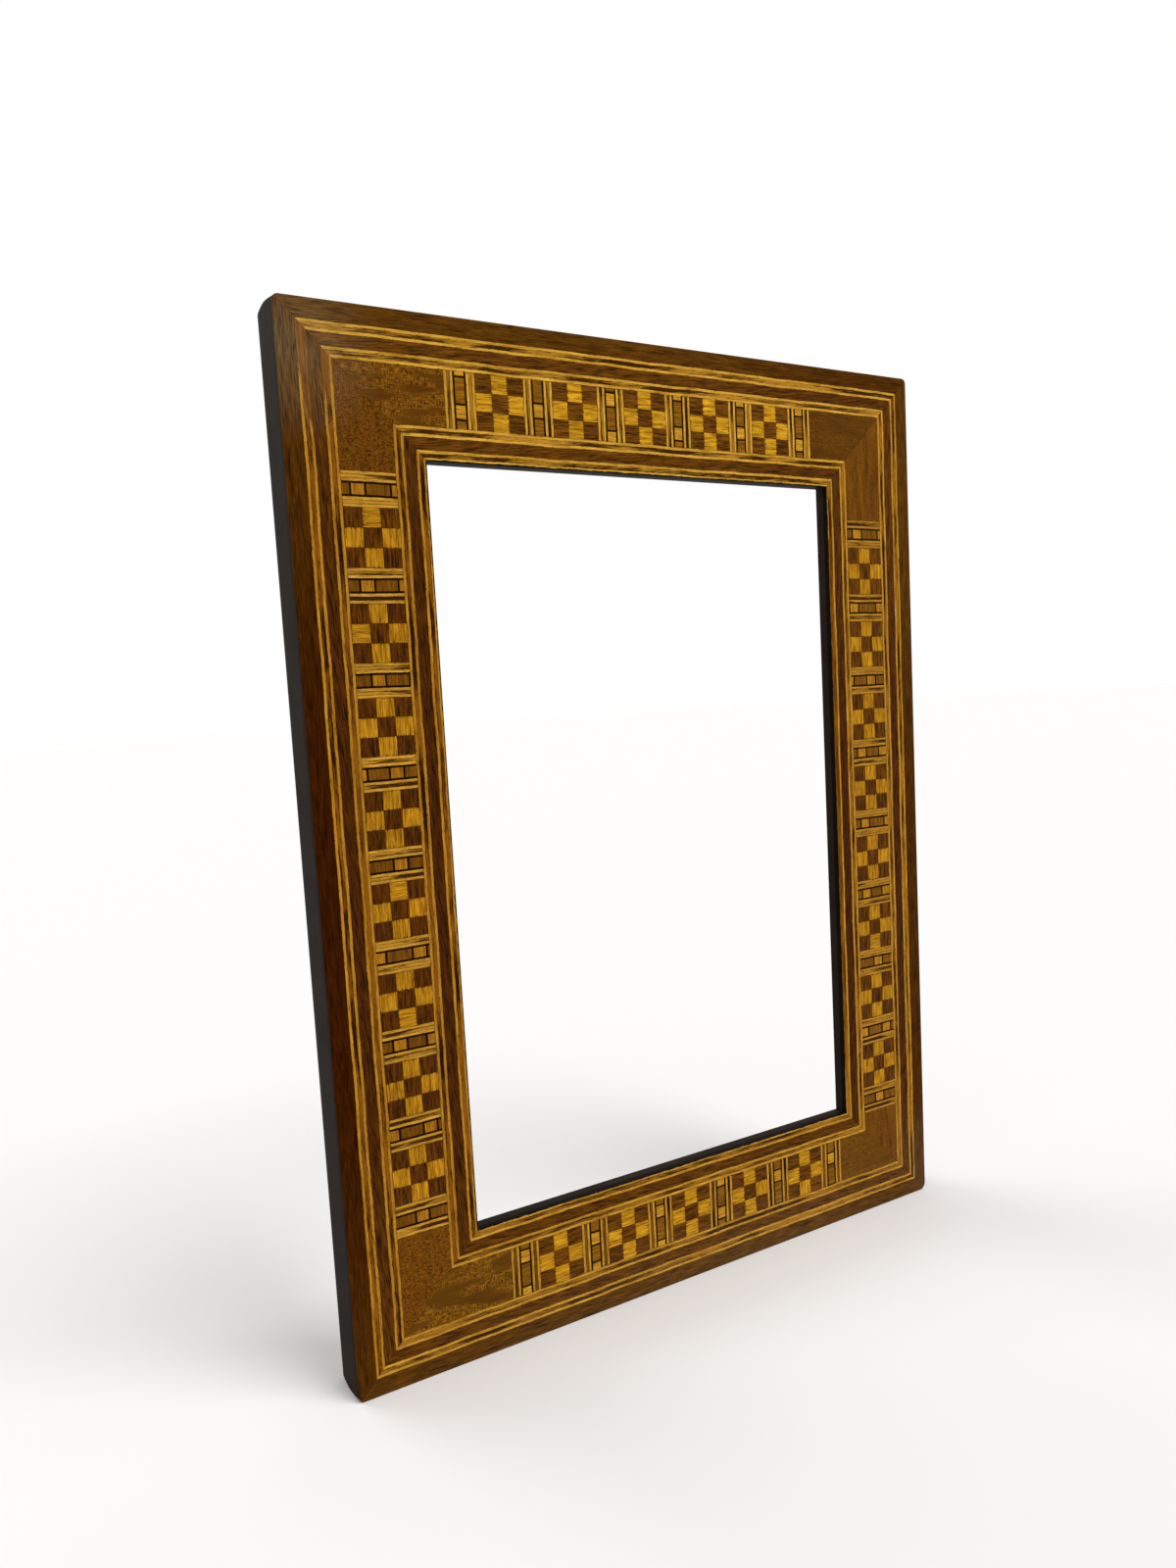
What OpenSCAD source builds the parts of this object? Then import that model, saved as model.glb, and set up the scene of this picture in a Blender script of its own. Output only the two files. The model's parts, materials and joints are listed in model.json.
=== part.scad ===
// Inlaid wooden picture frame: four mitred rails with a rebate behind, faced with walnut
// borders, light and dark bandings, and panels of chequer blocks between ladder dividers.
// Millimetres. The frame stands upright in the X-Z plane with its face towards -Y.
// The origin is the middle of the bottom edge, halfway through the thickness.

/* [Frame] */
// Width over the outside edges
frame_w = 305; // [220:1:420]
// Height over the outside edges
frame_h = 406; // [300:1:600]
// Thickness from the face to the back
depth = 20; // [14:0.5:30]
// Thickness of the lip round the sight opening, with its veneers
lip_t = 7.1; // [4:0.1:10]
// Width of the rebate behind the lip
rebate_w = 13; // [6:0.5:16]
// Rounding of the outer front edge
edge_r = 0.9; // [0.2:0.1:1.1]
// Rounding of the outer corners
corner_r = 1.6; // [0.5:0.1:5]
// Rounding of the bottom right corner, which is worn the most
worn_corner_r = 3.6; // [0.5:0.1:6]

/* [Face strips] */
// Thickness of every strip and veneer on the face
inlay_t = 1.2; // [1.1:0.1:2.5]
// Width of the walnut border along the outside
border_w = 7.3; // [4:0.1:12]
// Width of one light line of a banding
line_w = 1.2; // [0.8:0.1:1.6]
// Width of the core between the two light lines
core_w = 1.5; // [0.8:0.1:3]
// Width of the walnut strips on both sides of the panel
strip_w = 4.6; // [2:0.1:8]
// Width of the panel, which is three chequer tiles
panel_w = 21.3; // [18:0.1:24]

/* [Chequers and dividers] */
// Least length for the corner veneers at each end of a run of chequer blocks
end_len = 14; // [12:1:18]
// Length of one tile along the top and bottom rails
top_tile = 6.9; // [5:0.1:9]
// Length of one tile along the left and right stiles
side_tile = 7.2; // [5:0.1:9]
// Width of a divider's core between its light lines
divider_core_w = 1.3; // [0.8:0.1:2]
// Width of the black stringing on both sides of a ladder
stringing_w = 0.7; // [0.4:0.05:0.9]
// Width of the ladder in the middle of a divider
ladder_w = 4; // [3:0.1:4.6]
// Length of a light block in a ladder
light_block = 5; // [3.5:0.1:6]
// Glue line between neighbouring tiles
glue = 0.04; // [0.02:0.01:0.1]

/* [Mitre keys] */
// Length of a key across the mitre
key_l = 26; // [16:1:30]
// Width of a key along the mitre
key_w = 14; // [8:1:18]
// Thickness of a key
key_t = 3; // [2:0.5:5]
// Clearance round a key in its slots
key_fit = 0.05; // [0:0.01:0.2]

/* [Hangers] */
// Distance of the ring axes below the top edge
hanger_drop = 106; // [60:1:160]
// Length of a strap below the ring axis
strap_l = 38; // [34:1:50]
// Width of a strap
strap_w = 9; // [7:0.5:9.5]
// Thickness of the strap metal
strap_t = 0.9; // [0.6:0.1:1.2]
// Radius of the ring wire
wire_r = 1; // [0.8:0.05:1.3]
// Width of a ring between the middles of its sides
ring_w = 15; // [15:0.5:20]
// Radius of the ring's two top bends
ring_bend = 2.2; // [1.6:0.1:2.4]
// Length of the straight sides of a ring
ring_side = 1; // [0.5:0.5:4]
// Running clearance of the ring wire in its knuckle
pin_fit = 0.08; // [0.03:0.01:0.1]
// Height of a knuckle above the back of the frame
knuckle_lift = 0.2; // [0.1:0.05:0.4]
// Length of a screw below its head
screw_l = 12; // [8:1:14]
// Radius of a screw's shank
screw_r = 1.3; // [1:0.1:1.6]
// Radius of a screw's head
head_r = 2.7; // [2.4:0.1:3.2]
// Height of a screw's head
head_h = 1.7; // [1.2:0.1:2]
// Distance between the two screws of a strap
screw_gap = 14; // [10:1:18]
// Clearance round a screw in the strap
strap_hole_fit = 0.2; // [0.1:0.05:0.4]

/* [Hidden] */
TOP = 0;
BOTTOM = 1;
LEFT = 2;
RIGHT = 3;

// Shift of each side's run of chequers from the middle, in tiles: to the right, or up
run_shift = [0, 0.68, 0.06, -1.24];

// Where the light blocks start on each ladder, from the panel's outer edge inwards, as
// shares of the panel's width.
// The ladders are cut from one long stick at random, so each starts somewhere else.
ladders = [
    // Top rail, left to right
    [[-0.16, 0.582], [0.432], [0.099, 0.812], [-0.146, 0.615], [-0.15, 0.498], [-0.099, 0.629]],
    // Bottom rail, left to right
    [[-0.089, 0.643], [-0.099, 0.521], [-0.122, 0.629], [0.141, 0.85], [-0.249, 0.531],
     [-0.249, 0.507]],
    // Left stile, bottom to top
    [[0.399], [-0.061, 0.667], [0.211, 0.85], [-0.07, 0.695], [0.465], [-0.16, 0.512],
     [0.305, 1.005], [0.225, 0.92], [0.169, 0.901]],
    // Right stile, bottom to top
    [[0.385], [0.113, 0.808], [0.305], [0, 0.606], [-0.131, 0.592], [-0.014, 0.634],
     [0.282, 0.944], [-0.052, 0.732], [-0.164, 0.587]]
];

banding_w = 2 * line_w + core_w;
panel_v = border_w + 2 * banding_w + strip_w;
moulding_w = panel_v + panel_w + 2 * banding_w + strip_w;
banding_v = [border_w, panel_v - banding_w, panel_v + panel_w, moulding_w - banding_w];
strip_v = [border_w + banding_w, moulding_w - banding_w - strip_w];
front_y = -depth / 2;
back_y = depth / 2;
ground_y = front_y + inlay_t;
seat_y = front_y + lip_t;
back_flat_w = moulding_w - rebate_w;
flank_w = 2 * line_w + divider_core_w;
divider_w = 2 * flank_w + 2 * stringing_w + ladder_w;
least_sliver = 0.15;
overcut = 1;

hanger_z = frame_h - hanger_drop;
ring_axis_y = back_y + knuckle_lift + strap_t + pin_fit + wire_r;
knuckle_r = wire_r + pin_fit + strap_t;
knuckle_w = strap_w;
strap_end = strap_w / 2;
slot_w = 0.7;
slot_d = 0.6;
fine = 64;

function side_len(side) = side == TOP || side == BOTTOM ? frame_w : frame_h;
function tile_len(side) = side == TOP || side == BOTTOM ? top_tile : side_tile;
function pitch(side) = 3 * tile_len(side) + divider_w;
// As many blocks as leave room for the corner veneers
function chequers(side) =
    floor((side_len(side) - 2 * (panel_v + panel_w + end_len) - divider_w) / pitch(side));
function run_len(side) = chequers(side) * pitch(side) + divider_w;
function run_middle(side) = run_shift[side] * tile_len(side);
function run_start(side) = run_middle(side) - run_len(side) / 2;
function run_end(side) = run_middle(side) + run_len(side) / 2;
function divider_u(side, i) = run_start(side) + i * pitch(side);
function ladder_u(side, i) = divider_u(side, i) + flank_w + stringing_w;
function ladder_cuts(side, i) = panel_w * ladders[side][i % len(ladders[side])];

// Puts a piece drawn for one side in its place. It is drawn with X along the side from its
// middle and Z inwards from the outer edge.
module on_side(side) {
    if (side == BOTTOM) children();
    if (side == TOP) translate([0, 0, frame_h]) mirror([0, 0, 1]) children();
    if (side == LEFT) translate([-frame_w / 2, 0, frame_h / 2]) mirror([1, 0, -1]) children();
    if (side == RIGHT)
        translate([frame_w / 2, 0, frame_h / 2]) mirror([1, 0, 0]) mirror([1, 0, -1]) children();
}

// A flat board with the given outline in X-Z, from one depth to another
module board(outline, y_front, y_back) {
    translate([0, y_back, 0])
        rotate([90, 0, 0]) linear_extrude(y_back - y_front) polygon(outline);
}

// A strip along a side with a 45 degree mitre at each end
module mitred(side, v_out, v_in, y_front, y_back) {
    half = side_len(side) / 2;
    board([[v_out - half, v_out], [half - v_out, v_out],
           [half - v_in, v_in], [v_in - half, v_in]], y_front, y_back);
}

// A strip of the face, which is as thick as the veneers
module face_strip(side, v_out, width) {
    on_side(side) mitred(side, v_out, v_out + width, front_y, ground_y);
}

// A rectangular tile of the panel, less half a glue line on each edge
module tile(u, v, length, width) {
    translate([u + glue / 2, front_y, panel_v + v + glue / 2])
        cube([length - glue, inlay_t, width - glue]);
}

// A tile that runs across the panel between two distances from its outer edge, cut off at
// the panel's edges
module cut_tile(u, v_from, v_to, length) {
    low = max(0, v_from);
    high = min(panel_w, v_to);
    if (high - low > least_sliver) tile(u, low, length, high - low);
}

// What the rounding takes off one outer corner, through the whole thickness
module corner_waste(x_sign, z_sign, z, radius) {
    translate([x_sign * frame_w / 2, back_y + overcut, z])
        mirror([x_sign < 0 ? 0 : 1, 0, 0]) mirror([0, 0, z_sign < 0 ? 0 : 1])
            rotate([90, 0, 0]) linear_extrude(depth + 2 * overcut) difference() {
                translate([-overcut, -overcut]) square(radius + overcut);
                translate([radius, radius]) circle(radius, $fn = fine);
            }
}

module all_corner_waste() {
    corner_waste(-1, -1, 0, corner_r);
    corner_waste(1, -1, 0, worn_corner_r);
    corner_waste(-1, 1, frame_h, corner_r);
    corner_waste(1, 1, frame_h, corner_r);
}

// A key across the mitre of one corner, or with a clearance the slot for it
module key(x_sign, top, fit) {
    middle = back_flat_w / 2;
    translate([x_sign * (frame_w / 2 - middle), (seat_y + back_y) / 2,
               top ? frame_h - middle : middle])
        rotate([0, (top ? 1 : -1) * x_sign * 45, 0])
            cube([key_l + 2 * fit, key_t + 2 * fit, key_w + 2 * fit], center = true);
}

module all_keys(fit) {
    for (x_sign = [-1, 1], top = [false, true]) key(x_sign, top, fit);
}

function hanger_x(x_sign) = x_sign * (frame_w / 2 - back_flat_w / 2);
function screw_z(i) = hanger_z - strap_l + strap_end + i * screw_gap;

module all_screw_holes(radius) {
    for (x_sign = [-1, 1], i = [0, 1])
        translate([hanger_x(x_sign), back_y + strap_t, screw_z(i)])
            rotate([90, 0, 0]) cylinder(r = radius, h = screw_l, $fn = fine);
}

// One rail or stile: the full depth outside, the thin lip inside, and the rebate between
module rail(side) {
    color("#4a3322") difference() {
        on_side(side) union() {
            mitred(side, 0, back_flat_w, ground_y, back_y);
            mitred(side, 0, moulding_w, ground_y, seat_y);
        }
        all_corner_waste();
        all_keys(key_fit);
        all_screw_holes(screw_r);
    }
}

// The walnut border along the outside, with its front edge rounded
module border(side) {
    length = side_len(side);
    color("#5f3c1c") difference() {
        on_side(side) intersection() {
            mitred(side, 0, border_w, front_y, ground_y);
            translate([-length / 2, front_y, 0])
                rotate([90, 0, 90]) linear_extrude(length) union() {
                    translate([edge_r, 0]) square([inlay_t - edge_r, border_w]);
                    translate([0, edge_r]) square([inlay_t, border_w - edge_r]);
                    translate([edge_r, edge_r]) circle(edge_r, $fn = fine);
                }
        }
        all_corner_waste();
    }
}

module outer_strip(side) {
    color("#5a3518") face_strip(side, strip_v[0], strip_w);
}

module inner_strip(side) {
    color("#5a3518") face_strip(side, strip_v[1], strip_w);
}

// The two light lines of all four bandings
module banding_lines(side) {
    color("#cf9f45") for (v = banding_v) {
        face_strip(side, v, line_w);
        face_strip(side, v + line_w + core_w, line_w);
    }
}

// The core of all four bandings
module banding_cores(side) {
    color("#a87428") for (v = banding_v) face_strip(side, v + line_w, core_w);
}

// The figured veneers at both ends of a panel, mitred at the corner of the frame
module corner_veneers(side) {
    half = side_len(side) / 2;
    inner_v = panel_v + panel_w;
    color("#70481a") on_side(side) {
        board([[panel_v - half, panel_v], [run_start(side), panel_v],
               [run_start(side), inner_v], [inner_v - half, inner_v]], front_y, ground_y);
        board([[run_end(side), panel_v], [half - panel_v, panel_v],
               [half - inner_v, inner_v], [run_end(side), inner_v]], front_y, ground_y);
    }
}

// The tiles of one tone in all blocks: 0 is the dark corners and middle, 1 is the light rest
module chequer_tiles(side, tone) {
    on_side(side) for (n = [0 : 1 : chequers(side) - 1], i = [0 : 2], j = [0 : 2])
        if ((i + j) % 2 == tone)
            tile(divider_u(side, n) + divider_w + i * tile_len(side), j * panel_w / 3,
                 tile_len(side), panel_w / 3);
}

module dark_tiles(side) {
    color("#54300f") chequer_tiles(side, 0);
}

module light_tiles(side) {
    color("#d0a040") chequer_tiles(side, 1);
}

// The four light lines of each divider
module divider_lines(side) {
    color("#cf9f45") on_side(side) for (n = [0 : chequers(side)])
        for (offset = [0, line_w + divider_core_w])
            for (flank = [0, divider_w - flank_w])
                tile(divider_u(side, n) + flank + offset, 0, line_w, panel_w);
}

// The two cores of each divider
module divider_cores(side) {
    color("#a87428") on_side(side) for (n = [0 : chequers(side)])
        for (flank = [0, divider_w - flank_w])
            tile(divider_u(side, n) + flank + line_w, 0, divider_core_w, panel_w);
}

// The black lines on both sides of each ladder and between its blocks
module black_stringing(side) {
    color("#1c1410") on_side(side) for (n = [0 : chequers(side)]) {
        u = ladder_u(side, n);
        tile(u - stringing_w, 0, stringing_w, panel_w);
        tile(u + ladder_w, 0, stringing_w, panel_w);
        for (v = ladder_cuts(side, n)) {
            cut_tile(u, v - stringing_w, v, ladder_w);
            cut_tile(u, v + light_block, v + light_block + stringing_w, ladder_w);
        }
    }
}

module ladder_light_blocks() {
    color("#c2933c") for (side = [TOP : RIGHT]) on_side(side)
        for (n = [0 : chequers(side)])
            for (v = ladder_cuts(side, n))
                cut_tile(ladder_u(side, n), v, v + light_block, ladder_w);
}

// The brown blocks fill what the light blocks and the black lines leave of a ladder
module ladder_brown_blocks() {
    step = light_block + stringing_w;
    color("#8a6224") for (side = [TOP : RIGHT]) on_side(side)
        for (n = [0 : chequers(side)]) {
            cuts = ladder_cuts(side, n);
            last = len(cuts) - 1;
            u = ladder_u(side, n);
            cut_tile(u, 0, cuts[0] - stringing_w, ladder_w);
            for (i = [0 : 1 : last - 1])
                cut_tile(u, cuts[i] + step, cuts[i + 1] - stringing_w, ladder_w);
            cut_tile(u, cuts[last] + step, panel_w, ladder_w);
        }
}

module mitre_keys() {
    color("#8c6a3e") all_keys(0);
}

// The strap is folded from sheet: a plate with two screw holes and a knuckle for the ring
module hanger_strap(x_sign) {
    color("#b08d3c") difference() {
        translate([hanger_x(x_sign), 0, 0]) union() {
            translate([0, back_y + strap_t, hanger_z - strap_l + strap_end])
                rotate([90, 0, 0]) linear_extrude(strap_t) union() {
                    translate([-strap_w / 2, 0]) square([strap_w, strap_l - strap_end]);
                    circle(strap_end, $fn = fine);
                }
            translate([-knuckle_w / 2, ring_axis_y, hanger_z])
                rotate([0, 90, 0]) cylinder(r = knuckle_r, h = knuckle_w, $fn = fine);
        }
        translate([hanger_x(x_sign) - knuckle_w, ring_axis_y, hanger_z])
            rotate([0, 90, 0])
                cylinder(r = wire_r + pin_fit, h = 2 * knuckle_w, $fn = fine);
        translate([0, overcut, 0]) all_screw_holes(screw_r + strap_hole_fit);
    }
}

// Slotted round-head screws, two through each strap
module hanger_screws() {
    dome_r = (head_r * head_r + head_h * head_h) / (2 * head_h);
    color("#a8863a") {
        for (x_sign = [-1, 1], i = [0, 1])
            translate([hanger_x(x_sign), back_y + strap_t, screw_z(i)]) rotate([90, 0, 0]) {
                cylinder(r = screw_r, h = screw_l, $fn = fine);
                difference() {
                    intersection() {
                        translate([0, 0, dome_r - head_h]) sphere(dome_r, $fn = fine);
                        translate([0, 0, -head_h - overcut])
                            cylinder(r = head_r, h = head_h + overcut, $fn = fine);
                    }
                    translate([-head_r - overcut, -slot_w / 2, -head_h - overcut])
                        cube([2 * (head_r + overcut), slot_w, slot_d + overcut]);
                }
            }
    }
}

// A straight length of ring wire along X
module wire(length) {
    rotate([0, 90, 0]) cylinder(r = wire_r, h = length, $fn = fine);
}

// A bend of ring wire in the X-Z plane about the origin
module wire_bend(radius, start, turn) {
    rotate([90, 0, 0]) rotate([0, 0, start])
        rotate_extrude(angle = turn, $fn = fine) translate([radius, 0]) circle(wire_r, $fn = fine);
}

// The D-shaped ring, hanging straight down from its axis
module ring(x_sign) {
    half = ring_w / 2;
    straight = half - ring_bend;
    color("#b9953f") translate([hanger_x(x_sign), ring_axis_y, hanger_z]) {
        translate([-straight, 0, 0]) wire(2 * straight);
        translate([straight, 0, -ring_bend]) wire_bend(ring_bend, 0, 90);
        translate([-straight, 0, -ring_bend]) wire_bend(ring_bend, 90, 90);
        for (x = [-half, half])
            translate([x, 0, -ring_bend - ring_side])
                cylinder(r = wire_r, h = ring_side, $fn = fine);
        translate([0, 0, -ring_bend - ring_side]) wire_bend(half, 180, 180);
    }
}

rail(TOP);  // top_rail
rail(BOTTOM);  // bottom_rail
rail(LEFT);  // left_stile
rail(RIGHT);  // right_stile
border(TOP);  // top_border
border(BOTTOM);  // bottom_border
border(LEFT);  // left_border
border(RIGHT);  // right_border
outer_strip(TOP);  // top_outer_strip
outer_strip(BOTTOM);  // bottom_outer_strip
outer_strip(LEFT);  // left_outer_strip
outer_strip(RIGHT);  // right_outer_strip
inner_strip(TOP);  // top_inner_strip
inner_strip(BOTTOM);  // bottom_inner_strip
inner_strip(LEFT);  // left_inner_strip
inner_strip(RIGHT);  // right_inner_strip
banding_lines(TOP);  // top_banding_lines
banding_lines(BOTTOM);  // bottom_banding_lines
banding_lines(LEFT);  // left_banding_lines
banding_lines(RIGHT);  // right_banding_lines
banding_cores(TOP);  // top_banding_cores
banding_cores(BOTTOM);  // bottom_banding_cores
banding_cores(LEFT);  // left_banding_cores
banding_cores(RIGHT);  // right_banding_cores
corner_veneers(TOP);  // top_corner_veneers
corner_veneers(BOTTOM);  // bottom_corner_veneers
corner_veneers(LEFT);  // left_corner_veneers
corner_veneers(RIGHT);  // right_corner_veneers
dark_tiles(TOP);  // top_dark_tiles
dark_tiles(BOTTOM);  // bottom_dark_tiles
dark_tiles(LEFT);  // left_dark_tiles
dark_tiles(RIGHT);  // right_dark_tiles
light_tiles(TOP);  // top_light_tiles
light_tiles(BOTTOM);  // bottom_light_tiles
light_tiles(LEFT);  // left_light_tiles
light_tiles(RIGHT);  // right_light_tiles
divider_lines(TOP);  // top_divider_lines
divider_lines(BOTTOM);  // bottom_divider_lines
divider_lines(LEFT);  // left_divider_lines
divider_lines(RIGHT);  // right_divider_lines
divider_cores(TOP);  // top_divider_cores
divider_cores(BOTTOM);  // bottom_divider_cores
divider_cores(LEFT);  // left_divider_cores
divider_cores(RIGHT);  // right_divider_cores
black_stringing(TOP);  // top_black_stringing
black_stringing(BOTTOM);  // bottom_black_stringing
black_stringing(LEFT);  // left_black_stringing
black_stringing(RIGHT);  // right_black_stringing
ladder_brown_blocks();
ladder_light_blocks();
mitre_keys();
hanger_strap(-1);  // left_hanger_strap
hanger_strap(1);  // right_hanger_strap
hanger_screws();
ring(-1);  // left_ring
ring(1);  // right_ring
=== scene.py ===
"""Looks of an inlaid wooden picture frame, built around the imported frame.

The file is laid out as an add-on: sizes and colours are properties, each group of pieces is an
operator, and main() calls the operators in order. Lengths are in metres. The frame stands in
the X-Z plane with its inlaid face towards -Y.
"""

import json
import math
from functools import partial

import bpy
import numpy as np
from mathutils import Matrix, Vector


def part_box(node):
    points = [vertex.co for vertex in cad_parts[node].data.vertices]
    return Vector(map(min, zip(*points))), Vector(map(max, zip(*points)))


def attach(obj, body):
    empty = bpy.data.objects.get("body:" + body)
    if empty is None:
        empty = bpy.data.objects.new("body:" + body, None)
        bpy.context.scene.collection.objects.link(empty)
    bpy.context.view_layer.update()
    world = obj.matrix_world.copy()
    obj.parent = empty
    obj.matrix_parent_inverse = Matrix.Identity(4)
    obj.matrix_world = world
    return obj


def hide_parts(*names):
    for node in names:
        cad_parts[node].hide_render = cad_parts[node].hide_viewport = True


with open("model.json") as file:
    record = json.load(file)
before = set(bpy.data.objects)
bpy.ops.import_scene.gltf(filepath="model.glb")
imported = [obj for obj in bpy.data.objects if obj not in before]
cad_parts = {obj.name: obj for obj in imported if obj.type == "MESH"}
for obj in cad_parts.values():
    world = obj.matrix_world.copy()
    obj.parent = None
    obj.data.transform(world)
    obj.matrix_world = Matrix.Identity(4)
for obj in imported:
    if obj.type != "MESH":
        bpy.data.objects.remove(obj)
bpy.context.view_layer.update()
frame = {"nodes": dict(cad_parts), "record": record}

bl_info = {
    "name": "Inlaid picture frame",
    "version": (1, 0, 0),
    "blender": (4, 5, 0),
    "location": "3D View > Sidebar > Inlaid frame",
    "description": "Veneers, painted rails and brass hangers of an inlaid picture frame",
    "category": "Object",
}

MM = 0.001
SEED = 11
SIDES = ("top", "bottom", "left", "right")
LEVEL = SIDES[:2]

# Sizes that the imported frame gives
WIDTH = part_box("right_border")[1].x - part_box("left_border")[0].x
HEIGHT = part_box("top_border")[1].z
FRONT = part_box("top_border")[0].y
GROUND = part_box("top_rail")[0].y
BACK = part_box("top_rail")[1].y
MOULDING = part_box("left_stile")[1].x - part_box("left_stile")[0].x
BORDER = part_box("left_border")[1].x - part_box("left_border")[0].x
MOUNTS = {m["name"]: m["pos_m"] for m in frame["record"]["mounts"]}
SEAT = MOUNTS["picture_seat"][1]
BACK_FLAT = 2 * MOUNTS["picture_seat"][2] - MOULDING
PANEL_MIDDLE = (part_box("left_corner_veneers")[0].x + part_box("left_black_stringing")[1].x
                + WIDTH) / 2

# Hand-cut joints: the wave lengths in millimetres of which their stray is made and the share of
# each, and where it fades to nothing at the outer edge and at the sight edge. Round the middle
# of the panel it is only the share CALM, which grows to all of it over CALM_REACH, from the
# share CALM_FROM of that distance on.
STRAY_WAVES = ((55, 0.5), (31, 0.42), (17, 0.32), (11, 0.2), (7.3, 0.16), (5, 0.12))
OUTER_FADE, SIGHT_FADE = 4 * MM, 1 * MM
CALM, CALM_FROM, CALM_REACH = 0.45, 0.6, 9 * MM
# Rails and borders: the stations round a corner and where the even ones start, the rounding of
# the lip, and the angle above which an edge stays sharp
CORNER_STEP, CORNER_END, EVEN_START = 0.35 * MM, 4.01 * MM, 4.5 * MM
LIP_EDGE, SHARP = 0.4 * MM, 0.6

# Where the old stain ends: each banding line of the left stile by its distance from the outer
# edge and the height below the top at which it clears; and how much of the right sight line is
# clear at its ends
STAIN_LINES = (0.0079, 0.0107, 0.0159, 0.0183, 0.0184)
STAIN_LENGTHS = (0.0224, 0.047, 0.0353, 0.0317, -1)
STAIN_CLEAR = 0.022
# Where pale painted sheen lies, a painted reflection on the varnish: the middle of each patch, its
# reach along x, y and z, and how strong it is. They are the top left corner, the bottom border and
# the bottom right corner.
SHEEN_PATCHES = (
    ((0.004 - WIDTH / 2, FRONT, HEIGHT - 0.016), (0.035, 1, 0.035), 0.17),
    ((0.04, FRONT, 0), (0.2, 1, 0.03), 0.065),
    ((WIDTH / 2, FRONT, 0.012), (0.03, 1, 0.04), 0.08),
)
# How little the varnish tint darkens each wood, for the top, bottom, left and right sides. It is
# partly the old varnish and partly painted shade and painted sheen: the left side, where less
# light falls, is darkest, and the sides are lighter where sheen lies. One number where it is even,
# or else the value at the side's ends, how much less it is where it is darkest, and the middle and
# reach of that place as shares of the side, from its top or left. The divider cores' numbers also
# hold how unevenly they were stained.
VARNISH_AND_SHADE = {
    "border": ((1.0, 0.42, 1.0, 0.3), 1.0, (0.7, 0.7, 0.56, 0.36), (1.0, 0.55, 0.66, 0.35)),
    "strip": ((1.0, 0.42, 1.0, 0.3), 1.0, (0.9, 0.65, 0.5, 0.4), (0.7, 0.5, 0.6, 0.35)),
    "banding line": (0.88, 0.63, 0.34, 0.48),
    "banding core": (1.0, 0.56, 0.0, 0.42),
    "corner": (0.6, 1.0, 0.3, 0.35),
    "dark tile": (1.0, 0.9, (1.0, 0.63, 0.5, 0.4), (0.95, 0.3, 0.66, 0.35)),
    "light tile": (0.91, 0.76, 0.45, 0.52),
    "divider line": (0.9, 0.6, 0.63, 0.33),
    "divider core": (0.6, 0.0, 1.0, 0.88),
    "brown block": (1.0, 1.0, 0.44, 0.76),
    "light block": (1.0, 0.9, 0.27, 0.52),
}

# What the patterns of the materials follow, most often a noise of 0.5 on average: the values at
# which each sets in and is full, and for some its strength at both
RAMPS = {
    "fleck": (0.52, 0.75),
    "curly piece": (0.2, 0.5),
    "ripple": (0.45, 0.66),
    "tear": (0.5, 0.72),
    "stain": (7 * MM, 7.6 * MM),
    "painted_sheen": (0.3, 1.25),
    "painted sheen in fibres": (0.38, 0.62, 0.4, 1.6),
    "gloss": (0.3, 0.7),
    "figure fades": (-WIDTH / 4, WIDTH / 4, 1.0, 0.35),
    "crossed lines": (0.3, 0.6, 0.39, 0.63),
    "clouds": (0.44, 0.54),
    "brush marks": (0.3, 0.7, 0.75, 1.25),
    "paint darkens to front": (GROUND + 0.7 * MM, GROUND + 1.8 * MM, 0.3, 1.0),
    "glint": (0.6, 0.66),
    "tarnish": (0.3, 0.8),
}
# Wood: the step in the log from piece to piece, the waves per metre of its bent grain, the share
# of fine fibres in its tone, and the spread of its noise
LOG_STEP = (0.7, 0.9, 0)
BENDS, FINE_SHARE, SPREAD = 90, 0.55, 0.12
# Long splits set in and are full at these values, less a share of how much they take up
SPLIT, SPLIT_SHARE, SPLIT_DARK = (0.66, 0.74), 0.17, 0.7
# How far the streaks make the edges of stain and painted sheen ragged; the tone of the dark
# clouds in the crossed figure and how much grain shows in them; and how strong the curls are
RAGGED_STAIN, RAGGED_SHEEN = 14 * MM, 0.5
CLOUD_TONE, CLOUD_GRAIN, CURLS = 0.41, 0.25, 0.65
# A joint's dark line: the least tear, how far a tear goes at least at its fullest, in
# millimetres, and the line's width
LEAST_TEAR, FULL_TEAR, JOINT = 0.02 * MM, 0.04, 0.07 * MM
# How far the varnish's roughness follows the streaks; and the bumps of fibres and of scratches:
# their strength, height and width
POLISH = (-0.06, 0.08)
FIBRE_BUMP, SCRATCH_BUMP = (0.6, 0.08 * MM, 0.1), (0.25, 0.02 * MM, 0.1)
# Black paint: its uneven edge, brush marks and specks of painted highlight, all in waves per
# metre, how far it reaches on the rails, how uneven and blurred its edge is as shares of its
# reach, its roughness, and where along its edge the specks of painted highlight lie
PAINT_EDGE, BRUSH_MARKS, PAINTED_GLINT_SPECKS = 300, 60, 2200
RAIL_REACH, UNEVEN, BLURRED, PAINT_ROUGH = 1.1 * MM, 1.6, 0.2, 0.5
PAINTED_GLINT_PLACE, PAINTED_GLINT_WIDTH = 0.15 * MM, 0.12 * MM
# Brass: its patches of film and its scratches, in waves per metre, and how much rougher it is
# under the film. Beech: its flecks, in waves per metre
FILM, SCRATCHES, FILM_ROUGH = 420, (300, 300, 3500), 0.22
FLECKS = (120, 900, 120)

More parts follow.
